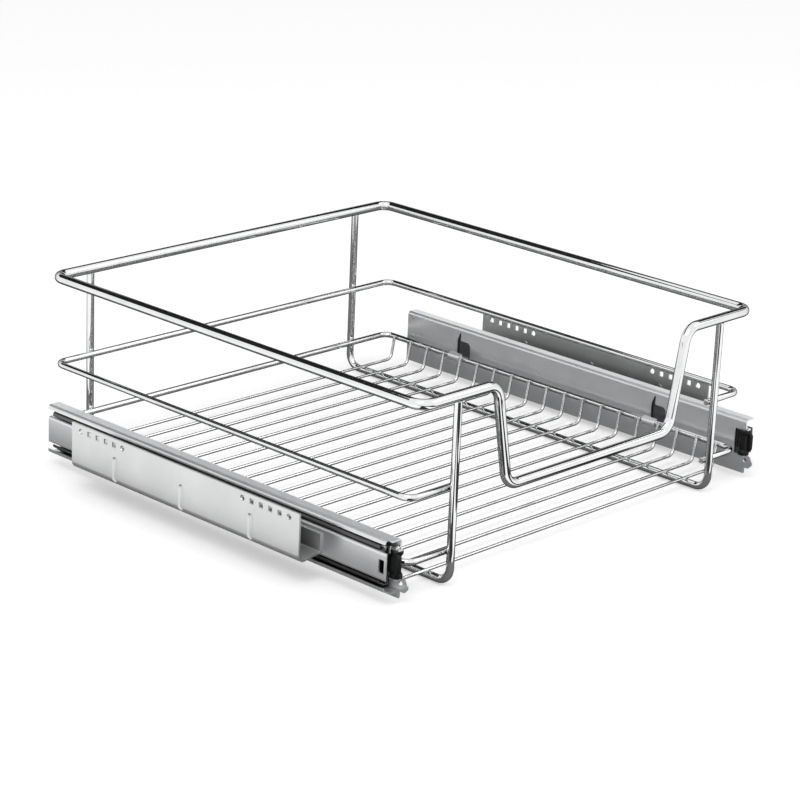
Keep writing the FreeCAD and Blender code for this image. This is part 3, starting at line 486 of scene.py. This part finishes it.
def make_bumper_pin(side):
    """The pin through the bumper, headed over at both ends."""
    knob = TAB_PIN * PIN_KNOB
    stages = [
        (-BUMPER_HALF - WALL - PIN_FOOT, knob),
        (-BUMPER_HALF - WALL, knob * PIN_SHOULDER),
        (-BUMPER_HALF - WALL / 2, TAB_PIN / 2),
        (BUMPER_HALF + WALL / 2, TAB_PIN / 2),
        (BUMPER_HALF + WALL, knob * PIN_SHOULDER),
        (BUMPER_HALF + WALL + PIN_HEAD, knob * PIN_SHOULDER),
        (BUMPER_HALF + WALL + PIN_TIP, knob * PIN_POINT),
    ]
    return turn_round((side * (SLIDE_BACK + BUMPER_DEPTH), BUMPER_FRONT, BUMPER_MIDDLE), stages, PIN_SIDES)


def make_intermediate_member(name, side):
    """The middle member: its flanges step down behind the outer balls and curl round the inner ones."""
    wall = MIDDLE_WALL
    step_bend = OUTER_BALL / 3
    lip = INNER_HEIGHT - LIP_OVERLAP
    upper = [
        (MIDDLE_BACK, MIDDLE_SHOULDER),
        (MIDDLE_STEP, MIDDLE_SHOULDER),
        (MIDDLE_STEP, MIDDLE_FLANGE, step_bend),
        (MIDDLE_LIP, MIDDLE_FLANGE, INNER_RACE + wall),
        (MIDDLE_LIP, lip),
        (MIDDLE_LIP - wall, lip),
        (MIDDLE_LIP - wall, MIDDLE_FLANGE - wall, INNER_RACE),
        (MIDDLE_STEP - wall, MIDDLE_FLANGE - wall, step_bend + wall),
        (MIDDLE_STEP - wall, MIDDLE_SHOULDER - wall),
        (MIDDLE_BACK + wall, MIDDLE_SHOULDER - wall),
    ]
    piece = fold_channel(side, INTERMEDIATE_FRONT, INTERMEDIATE_LENGTH, both_halves(upper))
    return settle(piece, name, SHEET_SHADE)


def make_cabinet_member(name, side):
    """The member that stays in the cabinet, with a flat slotted tongue at its front."""
    upper = [
        (STACK_DEPTH, CABINET_FLANGE, WALL * 1.5),
        (CABINET_STEP, CABINET_FLANGE, INNER_RACE),
        (CABINET_STEP, CABINET_LIP),
        (CABINET_STEP - WALL, CABINET_LIP),
        (CABINET_STEP - WALL, CABINET_FLANGE - WALL, INNER_RACE + WALL),
        (STACK_DEPTH - WALL, CABINET_FLANGE - WALL),
    ]
    piece = fold_channel(side, CABINET_FRONT, CABINET_LENGTH, both_halves(upper))
    reach = CABINET_LIP + WALL
    near, far = CABINET_STEP - WALL * 2, STACK_DEPTH - WALL
    cut(piece, block(side, (CABINET_FRONT - WALL, SLIDE_MIDDLE - reach),
                     (PAD_BACK + PAD_ROOM, SLIDE_MIDDLE + reach), near, far))
    front, back = (CABINET_FRONT + SLOT_INSET + end * SLOT_WIDTH / 2 for end in (-1, 1))
    low, high = (SLIDE_MIDDLE + end * SLOT_HEIGHT / 2 for end in (-1, 1))
    corners = ((front, low), (back, low), (back, high), (front, high))
    slot = [(along, up, SLOT_BEND) for along, up in corners]
    cut(piece, sideways(side, slot, STACK_DEPTH - WALL * 2, STACK_DEPTH + WALL))
    return settle(piece, name, SHEET_SHADE)


def make_cage(name, side, back, height, tip, ball_depth, ball):
    """A ball cage: a thin channel along the slide with an open pocket for each ball."""
    upper = [
        (back, height),
        (tip, height),
        (tip, height - CAGE_WALL),
        (back + CAGE_WALL, height - CAGE_WALL),
    ]
    piece = fold_channel(side, CAGE_MIDDLE - CAGE_LENGTH / 2, CAGE_LENGTH, both_halves(upper))
    pocket = ball / 2 + PLAY
    for index in range(BALL_COUNT):
        middle = CAGE_MIDDLE + BALL_PITCH * (index - (BALL_COUNT - 1) / 2)
        cut(piece, block(side, (middle - pocket, CLEAR_LOW), (middle + pocket, CLEAR_HIGH),
                         ball_depth - pocket, tip + PLAY))
    return settle(piece, name, SHEET_SHADE)


def make_balls(name, side, depth, height, ball):
    """Two rows of balls, one above and one below the slide's middle."""
    leave_all()
    first = CAGE_MIDDLE - BALL_PITCH * (BALL_COUNT - 1) / 2
    place = (side * (SLIDE_BACK + depth), first, SLIDE_MIDDLE - height)
    bpy.ops.mesh.primitive_cube_add(size=ball / 2, location=place)
    piece = bpy.context.object
    bpy.ops.object.mode_set(mode="EDIT")
    bpy.ops.mesh.select_all(action="SELECT")
    bpy.ops.mesh.subdivide(number_cuts=3)
    bpy.ops.transform.tosphere(value=1)
    bpy.ops.object.mode_set(mode="OBJECT")
    grow = ball / 2 / max(corner.co.length for corner in piece.data.vertices)
    piece.scale = (grow, grow, grow)
    bpy.ops.object.transform_apply(location=True, rotation=True, scale=True)
    repeat(piece, "row", BALL_COUNT, (0, BALL_PITCH, 0))
    repeat(piece, "pair", 2, (0, 0, height * 2))
    return settle(piece, name, BALL_SHADE)


def make_bumper(name, side):
    """The rubber bumper: a waisted spool on its pin, with an eight-sided pad towards the cabinet."""
    rim, waist, half = BUMPER_WIDTH / 2, BUMPER_WAIST / 2, BUMPER_HALF
    lower = [
        (-half, rim - SPOOL_EDGE),
        (-half + SPOOL_EDGE, rim),
        (-half + SPOOL_FLANGE, rim),
        (-half + SPOOL_STEP_END, rim - SPOOL_STEP),
        (-half + SPOOL_NECK, waist),
    ]
    centre = (side * (SLIDE_BACK + BUMPER_DEPTH), BUMPER_FRONT, BUMPER_MIDDLE)
    piece = turn_round(centre, lower + [(-height, radius) for height, radius in reversed(lower)])
    low, high = BUMPER_MIDDLE - half, BUMPER_MIDDLE + half
    corners = [
        (PAD_FRONT + PAD_CUT_ALONG, low),
        (PAD_BACK - PAD_CUT_ALONG, low),
        (PAD_BACK, low + PAD_CUT_UP),
        (PAD_BACK, high - PAD_CUT_UP),
        (PAD_BACK - PAD_CUT_ALONG, high),
        (PAD_FRONT + PAD_CUT_ALONG, high),
        (PAD_FRONT, high - PAD_CUT_UP),
        (PAD_FRONT, low + PAD_CUT_UP),
    ]
    pad = sideways(side, corners, PAD_NEAR, PAD_FAR)
    take(pad)
    bpy.ops.object.mode_set(mode="EDIT")
    bpy.ops.mesh.select_all(action="SELECT")
    bpy.ops.mesh.bevel(offset=PAD_ROUNDING, segments=2)
    bpy.ops.object.mode_set(mode="OBJECT")
    fuse(piece, pad)
    reach = half + PIN_OVERRUN
    cut(piece, turn_round(centre, [(-reach, TAB_PIN / 2), (reach, TAB_PIN / 2)]))
    return settle(piece, name, BUMPER_SHADE)


def make_bracket(name, side):
    """The mounting bracket: a plate with holes and three pressed ribs, a floor, and an upright."""
    wall, foot = BRACKET_WALL, BRACKET_FOOT
    section = [
        (PLATE, BRACKET_TOP),
        (PLATE, foot, PLATE_BEND),
        (BRACKET_FACE, foot + BRACKET_RISE, UPRIGHT_BEND),
        (BRACKET_FACE, UPRIGHT_TOP),
        (BRACKET_FACE + wall, UPRIGHT_TOP),
        (BRACKET_FACE + wall, foot + BRACKET_RISE + wall, UPRIGHT_INNER_BEND),
        (PLATE - wall, foot + wall, PLATE_INNER_BEND),
        (PLATE - wall, BRACKET_TOP),
    ]
    outline = [(side * across, BRACKET_FRONT, up, *bend) for across, up, *bend in section]
    piece = press(outline, (0, BRACKET_LENGTH, 0), BRACKET_STEPS)
    for towards in (-1, 1):
        cut_hole_group(piece, side, BRACKET_MIDDLE + HOLE_GROUPS / 2 * towards)
    for index in (-1, 0, 1):
        press_rib(piece, side, BRACKET_MIDDLE + RIB_PITCH * index)
    return settle(piece, name, SHEET_SHADE)


def cut_hole_group(piece, side, middle):
    """A group of holes in the plate: a round one at each end and a row of square ones between."""
    across = side * (PLATE - BRACKET_WALL / 2)
    for end in (-1, 1):
        cut(piece, drill(across, middle + HOLE_SPREAD / 2 * end, HOLE_ROW, SCREW_HOLE, BRACKET_WALL * 3))
    near, far = PLATE - BRACKET_WALL * 2 - SLIDE_BACK, PLATE + BRACKET_WALL - SLIDE_BACK
    half = SQUARE_HOLE / 2
    for index in range(SQUARE_COUNT):
        along = middle + SQUARE_PITCH * (index - (SQUARE_COUNT - 1) / 2)
        cut(piece, block(side, (along - half, HOLE_ROW - half), (along + half, HOLE_ROW + half), near, far))


def press_rib(piece, side, middle):
    """An upright rib pressed inwards: a bulge behind the plate and a tapered recess in its face."""
    front, back = middle - RIB_WIDTH / 2, middle + RIB_WIDTH / 2
    low, high, bend = RIB_FOOT, RIB_FOOT + RIB_HEIGHT, RIB_WIDTH * RIB_ROUND
    outline = [(front, low, bend), (back, low, bend), (back, high, bend), (front, high, bend)]
    face = PLATE - SLIDE_BACK
    fuse(piece, sideways(side, outline, face - BRACKET_WALL - RIB_DEPTH, face - BRACKET_WALL / 2))
    cut(piece, sideways(side, outline, face + RIB_OVERRUN, face - RIB_DEPTH, RIB_TAPER))


def new_finish(name):
    """An empty procedural material and its nodes."""
    finish = bpy.data.materials.new(name)
    finish.use_nodes = True
    tree = finish.node_tree
    shader = tree.nodes["Principled BSDF"]
    place = tree.nodes.new("ShaderNodeTexCoord")
    return finish, tree, shader, place.outputs["Object"]


def grain(tree, place, scale, stretch=PLAIN):
    """A noise pattern on the piece, stretched along its run."""
    turn = tree.nodes.new("ShaderNodeMapping")
    turn.inputs["Scale"].default_value = stretch
    tree.links.new(place, turn.inputs["Vector"])
    noise = tree.nodes.new("ShaderNodeTexNoise")
    noise.inputs["Scale"].default_value = scale
    noise.inputs["Detail"].default_value = NOISE_DETAIL
    tree.links.new(turn.outputs["Vector"], noise.inputs["Vector"])
    return noise.outputs["Fac"]


def spread(tree, pattern, low, high, start=NOISE_LOW, end=NOISE_HIGH):
    """Turn a pattern into a value between low and high."""
    span = tree.nodes.new("ShaderNodeMapRange")
    span.inputs["From Min"].default_value = start
    span.inputs["From Max"].default_value = end
    span.inputs["To Min"].default_value = low
    span.inputs["To Max"].default_value = high
    tree.links.new(pattern, span.inputs["Value"])
    return span.outputs["Result"]


def tint(tree, pattern, colours):
    """Blend two colours by a cloudy pattern."""
    blend = tree.nodes.new("ShaderNodeMix")
    blend.data_type = "RGBA"
    blend.inputs["A"].default_value = (*colours[0], 1)
    blend.inputs["B"].default_value = (*colours[1], 1)
    tree.links.new(spread(tree, pattern, 0, 1), blend.inputs["Factor"])
    return blend.outputs["Result"]


def darken_corners(tree, colour, reach):
    """Painted shade where surfaces meet, darkening the colour as far as it reaches out of a corner."""
    # An occlusion mask paints shade into corners and gaps.
    corner = tree.nodes.new("ShaderNodeAmbientOcclusion")
    corner.inputs["Distance"].default_value = reach
    painted_shade = tree.nodes.new("ShaderNodeMix")
    painted_shade.data_type = "RGBA"
    painted_shade.inputs["A"].default_value = PAINTED_SHADE_COLOUR
    tree.links.new(spread(tree, corner.outputs["AO"], 0, 1, PAINTED_SHADE_FROM, PAINTED_SHADE_TO), painted_shade.inputs["Factor"])
    tree.links.new(colour, painted_shade.inputs["B"])
    return painted_shade.outputs["Result"]


def relief(tree, shader, pattern, distance):
    """Raise a pattern out of the surface."""
    bump = tree.nodes.new("ShaderNodeBump")
    bump.inputs["Distance"].default_value = distance
    bump.inputs["Strength"].default_value = 1
    tree.links.new(pattern, bump.inputs["Height"])
    tree.links.new(bump.outputs["Normal"], shader.inputs["Normal"])


def make_chrome():
    """Bright plated wire, with faint smears."""
    finish, tree, shader, place = new_finish("bright_chrome")
    shader.inputs["Metallic"].default_value = 1
    shader.inputs["Specular Tint"].default_value = (0, 0, 0, 1)
    smears = grain(tree, place, SMEAR_SCALE)
    tree.links.new(tint(tree, smears, CHROME_COLOURS), shader.inputs["Base Color"])
    rubs = grain(tree, place, RUB_SCALE)
    tree.links.new(spread(tree, rubs, *CHROME_ROUGHNESS), shader.inputs["Roughness"])
    relief(tree, shader, grain(tree, place, PIT_SCALE), CHROME_RELIEF)
    return finish


def make_zinc(name, colours, roughness, stretch=ROLLED, reach=NEAR_PAINTED_SHADE):
    """Plated sheet with rolling streaks along its length and painted shade in its corners."""
    finish, tree, shader, place = new_finish(name)
    shader.inputs["Metallic"].default_value = ZINC_METAL
    streaks = grain(tree, place, STREAK_SCALE, stretch)
    colour = tint(tree, grain(tree, place, CLOUD_SCALE), colours)
    tree.links.new(darken_corners(tree, colour, reach), shader.inputs["Base Color"])
    tree.links.new(spread(tree, streaks, *roughness), shader.inputs["Roughness"])
    relief(tree, shader, streaks, ZINC_RELIEF)
    return finish


def make_plastic():
    """Black moulded plastic with a fine grain."""
    finish, tree, shader, place = new_finish("bumper_black")
    clouds = grain(tree, place, MOULD_CLOUD_SCALE)
    tree.links.new(tint(tree, clouds, PLASTIC_COLOURS), shader.inputs["Base Color"])
    shader.inputs["Specular IOR Level"].default_value = PLASTIC_GLOSS
    rubs = grain(tree, place, MOULD_RUB_SCALE)
    tree.links.new(spread(tree, rubs, *PLASTIC_ROUGHNESS), shader.inputs["Roughness"])
    relief(tree, shader, grain(tree, place, MOULD_PIT_SCALE), PLASTIC_RELIEF)
    return finish


chrome = make_chrome()
slide_zinc = make_zinc("slide_zinc", ((0.77, 0.78, 0.79), (0.83, 0.84, 0.85)), (0.28, 0.31))
# The intermediate members' dark steel is painted shade: it darkens the hook windows and the gaps between
# the members.
painted_shade_steel = make_zinc("painted_shade_steel", ((0.10, 0.10, 0.105), (0.16, 0.16, 0.165)), (0.30, 0.40))
# The brackets' painted shade reaches deeper into their hollows.
bracket_zinc = make_zinc("bracket_zinc", ((0.70, 0.71, 0.705), (0.76, 0.77, 0.765)), (0.30, 0.34),
                         reach=DEEP_PAINTED_SHADE)
cage_steel = make_zinc("cage_steel", ((0.42, 0.42, 0.42), (0.52, 0.52, 0.52)), (0.25, 0.4))
ball_steel = make_zinc("ball_steel", ((0.62, 0.62, 0.63), (0.7, 0.7, 0.71)), (0.06, 0.12), PLAIN)
rivet_steel = make_zinc("rivet_steel", ((0.5, 0.5, 0.5), (0.6, 0.6, 0.6)), (0.25, 0.4), PLAIN)
plastic = make_plastic()


def dress(piece, finish):
    """Give a piece one finish."""
    piece.data.materials.clear()
    piece.data.materials.append(finish)


def fit(piece, body, node, finish):
    """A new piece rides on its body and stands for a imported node."""
    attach(piece, body)
    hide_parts(node)
    dress(piece, finish)


def build_basket():
    """The welded basket, apart from its U-frames."""
    fit(make_rim(), CARRIAGE, "top_rim", chrome)
    fit(make_ring("middle_ring_wire", MIDDLE_RING), CARRIAGE, "middle_ring", chrome)
    fit(make_ring("lower_ring_wire", LOWER_RING), CARRIAGE, "lower_ring", chrome)
    fit(make_floor_wires(), CARRIAGE, "floor_wires", chrome)


def build_slide(label, side):
    """The three members of a slide."""
    fit(make_basket_member(label + "_basket_rail", side), CARRIAGE, label + "_basket_member",
        slide_zinc)
    # The intermediate member wears the dark steel that paints shade into the slide.
    fit(make_intermediate_member(label + "_intermediate_rail", side), label + "_intermediate_body",
        label + "_intermediate_member", painted_shade_steel)
    fit(make_cabinet_member(label + "_cabinet_rail", side), CABINET, label + "_cabinet_member",
        slide_zinc)


def build_bearings(label, side):
    """The two cages of a slide with their balls."""
    rows = (
        ("outer", WALL + CAGE_PLAY, OUTER_CAGE_TOP, OUTER_DEPTH, OUTER_HEIGHT, OUTER_BALL, OUTER_BALL / 4),
        ("inner", MIDDLE_BACK + MIDDLE_WALL + CAGE_PLAY, INNER_CAGE_TOP, INNER_DEPTH, INNER_HEIGHT,
         INNER_BALL, INNER_BALL / 6),
    )
    for row, back, height, ball_depth, ball_height, ball, past in rows:
        cage = make_cage(f"{label}_{row}_retainer", side, back, height, ball_depth + past, ball_depth, ball)
        body = f"{label}_{row}_cage_body"
        fit(cage, body, f"{label}_{row}_cage", cage_steel)
        balls = make_balls(f"{label}_{row}_bearing_balls", side, ball_depth, ball_height, ball)
        fit(balls, body, f"{label}_{row}_balls", ball_steel)


build_basket()
for label, side in SIDES:
    fit(make_u_frame(label + "_u_frame_wire", side), CARRIAGE, label + "_u_frame", chrome)
    build_slide(label, side)
    build_bearings(label, side)
    fit(make_bumper(label + "_bumper_spool", side), CARRIAGE, label + "_bumper", plastic)
    fit(make_bracket(label + "_bracket_plate", side), CABINET, label + "_mounting_bracket",
        bracket_zinc)
    dress(nodes[label + "_bracket_rivets"], rivet_steel)

# Studio: a pale floor, a white surround, two soft lamps, and dark cards that only gloss sees.
# A lamp's row holds its place, width, height and power; a card's holds its place, target, width,
# height and shade.
STUDIO_SIZE, STUDIO_DROP, STUDIO_GREY, STUDIO_ROUGHNESS, STUDIO_GLOW = 12, 0.0005, 0.8, 0.9, 0.43
SURROUND_LIGHT, SURROUND_SEEN = 0.6, 1.0
LAMPS = {
    "key_lamp": ((-1.2, -0.6, 2.0), 1.2, 1.2, 14),
    "fill_lamp": ((1.4, -1.4, 1.6), 1.0, 1.0, 7),
}
BASKET_CENTRE, BLACK, GREY = (0, 0, 0.1), 0.01, 0.2
CARDS = {
    "high_card": ((0, 1.3, 1.3), BASKET_CENTRE, 2.4, 0.75, BLACK),
    "front_card": ((0.9, -0.75, 0.85), BASKET_CENTRE, 0.9, 0.12, BLACK),
    "table_edge_card": ((-0.75, -0.72, 0.004), (-0.75, -0.72, 0), 1.6, 0.5, BLACK),
    "under_card": ((0.2, 0.25, -0.0002), (0.2, 0.25, -1), 0.95, 1.0, GREY),
    "right_card": ((1.05, 0.55, 0.95), BASKET_CENTRE, 1.7, 0.6, BLACK),
}
UPRIGHT_CARDS = {"left_upright_card": -0.35, "right_upright_card": -0.055}
UPRIGHT_CARD_SIZE, UPRIGHT_CARD_TURN = (0.11, 0.46), -46.4
UPRIGHT_CARD_FRONT, UPRIGHT_CARD_HEIGHT = -0.39, 0.001
LENS, SENSOR, FAR_CLIP = 120.39, 36, 50
CAMERA_PLACE, CAMERA_TURN = (-1.4523, -1.3822, 0.7374), (71.201, -2.369, -45.665)


def seen_rays(tree):
    """One for the rays that the camera, gloss or glass sees, and nothing for the rest."""
    path = tree.nodes.new("ShaderNodeLightPath")
    total = path.outputs["Is Camera Ray"]
    for ray in ("Is Glossy Ray", "Is Transmission Ray"):
        either = tree.nodes.new("ShaderNodeMath")
        either.operation = "MAXIMUM"
        tree.links.new(total, either.inputs[0])
        tree.links.new(path.outputs[ray], either.inputs[1])
        total = either.outputs["Value"]
    return total


def scale_by(tree, value, factor):
    """A value times a factor."""
    product = tree.nodes.new("ShaderNodeMath")
    product.operation = "MULTIPLY"
    product.inputs[1].default_value = factor
    tree.links.new(value, product.inputs[0])
    return product.outputs["Value"]


def make_floor():
    """A wide pale floor that glows a little for the rays that see it, and keeps the shadow."""
    leave_all()
    bpy.ops.mesh.primitive_plane_add(size=STUDIO_SIZE, location=(0, 0, -STUDIO_DROP))
    floor = bpy.context.object
    floor.name = "studio_floor"
    finish = bpy.data.materials.new("studio_white")
    finish.use_nodes = True
    tree = finish.node_tree
    shader = tree.nodes["Principled BSDF"]
    shader.inputs["Base Color"].default_value = (STUDIO_GREY, STUDIO_GREY, STUDIO_GREY, 1)
    shader.inputs["Roughness"].default_value = STUDIO_ROUGHNESS
    shader.inputs["Specular IOR Level"].default_value = 0
    shader.inputs["Emission Color"].default_value = (1, 1, 1, 1)
    tree.links.new(scale_by(tree, seen_rays(tree), STUDIO_GLOW), shader.inputs["Emission Strength"])
    floor.data.materials.append(finish)


def make_surround():
    """White all round where it is seen, and a plain dimmer light elsewhere."""
    world = bpy.data.worlds.new("studio_surround")
    bpy.context.scene.world = world
    world.use_nodes = True
    tree = world.node_tree
    surround = tree.nodes["Background"]
    surround.inputs["Color"].default_value = (1, 1, 1, 1)
    level = tree.nodes.new("ShaderNodeMapRange")
    level.inputs["To Min"].default_value = SURROUND_LIGHT
    level.inputs["To Max"].default_value = SURROUND_SEEN
    tree.links.new(seen_rays(tree), level.inputs["Value"])
    tree.links.new(level.outputs["Result"], surround.inputs["Strength"])


def aim(thing, place, target):
    """Stand a lamp or card somewhere, facing a point."""
    thing.location = place
    thing.rotation_euler = (Vector(target) - Vector(place)).to_track_quat("-Z", "Y").to_euler()


def add_lamp(name, place, width, height, power):
    """A soft rectangular lamp that faces the middle of the frame."""
    lamp = bpy.data.lights.new(name, "AREA")
    lamp.shape = "RECTANGLE"
    lamp.size, lamp.size_y = width, height
    lamp.energy = power
    holder = bpy.data.objects.new(name, lamp)
    bpy.context.scene.collection.objects.link(holder)
    aim(holder, place, (0, 0, 0))


def add_dark_card(name, place, target, width, height, shade):
    """A dark card out of the picture, which only gloss sees."""
    leave_all()
    bpy.ops.mesh.primitive_plane_add(size=1)
    card = bpy.context.object
    card.name = name
    card.scale = (width, height, 1)
    aim(card, place, target)
    card.visible_camera = False
    card.visible_diffuse = False
    card.visible_shadow = False
    dark = bpy.data.materials.new(name)
    dark.use_nodes = True
    shader = dark.node_tree.nodes["Principled BSDF"]
    shader.inputs["Base Color"].default_value = (shade, shade, shade, 1)
    shader.inputs["Roughness"].default_value = 1
    card.data.materials.append(dark)
    return card


def add_upright_card(name, across):
    """A black strip on the floor that draws the dark line down an upright wire."""
    place = (across, UPRIGHT_CARD_FRONT, UPRIGHT_CARD_HEIGHT)
    card = add_dark_card(name, place, (across, UPRIGHT_CARD_FRONT, -1), *UPRIGHT_CARD_SIZE, BLACK)
    card.rotation_euler = (0, 0, math.radians(UPRIGHT_CARD_TURN))


def add_camera():
    """The view of the photo."""
    view = bpy.data.cameras.new("photo_view")
    view.sensor_width = SENSOR
    view.lens = LENS
    camera = bpy.data.objects.new("photo_view", view)
    bpy.context.scene.collection.objects.link(camera)
    camera.location = CAMERA_PLACE
    camera.rotation_euler = [math.radians(angle) for angle in CAMERA_TURN]
    view.clip_end = FAR_CLIP
    bpy.context.scene.camera = camera


make_floor()
make_surround()
for name, row in LAMPS.items():
    add_lamp(name, *row)
for name, row in CARDS.items():
    add_dark_card(name, *row)
for name, across in UPRIGHT_CARDS.items():
    add_upright_card(name, across)
add_camera()
bpy.context.scene.view_settings.view_transform = "Standard"
